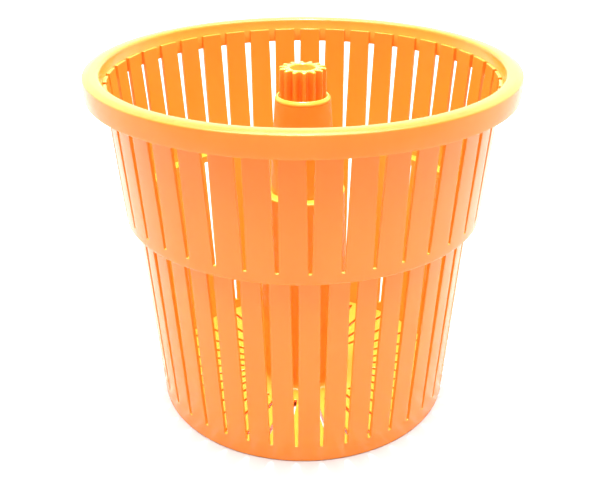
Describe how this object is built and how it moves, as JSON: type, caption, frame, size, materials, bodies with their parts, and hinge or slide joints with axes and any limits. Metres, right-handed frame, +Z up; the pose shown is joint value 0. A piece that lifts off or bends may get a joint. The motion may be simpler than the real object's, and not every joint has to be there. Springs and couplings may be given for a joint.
{
  "type": "salad spinner basket",
  "caption": "Open two-tier slotted basket that spins on a pivot in its hollow centre column, driven by a toothed pinion on top of the column.",
  "frame": {"origin": "on the spin axis, in the plane of the foot band's underside", "axes": "+Z up along the spin axis; -Y is the side that faces the viewer"},
  "size_m": [0.2366, 0.2366, 0.203],
  "materials": {
    "orange_plastic": "glossy, slightly translucent injection-moulded plastic",
    "bearing_plastic": "natural low-friction bearing plastic, satin",
    "pin_steel": "ground steel pin with a domed tip"
  },
  "bodies": {
    "pivot": {"pivot_cup": "bearing_plastic", "pivot_pin": "pin_steel"},
    "basket": {"rim_ring": "orange_plastic", "rim_skirt": "orange_plastic", "rim_collar": "orange_plastic", "upper_wall": "orange_plastic", "step_ring": "orange_plastic", "lower_wall": "orange_plastic", "foot_band": "orange_plastic", "floor_disc": "orange_plastic", "column_foot": "orange_plastic", "column_lower": "orange_plastic", "column_ledge": "orange_plastic", "column_upper": "orange_plastic", "column_collar": "orange_plastic", "drive_pinion": "orange_plastic", "pilot_cup": "orange_plastic", "bearing_housing": "orange_plastic", "bearing_sleeve": "bearing_plastic", "thrust_pad": "bearing_plastic", "retaining_ring": "bearing_plastic"}
  },
  "joints": [
    {"name": "basket_spin", "type": "hinge", "parent": "pivot", "child": "basket", "pos_m": [0, 0, 0.036], "axis": [0, 0, 1], "continuous": true}
  ]
}
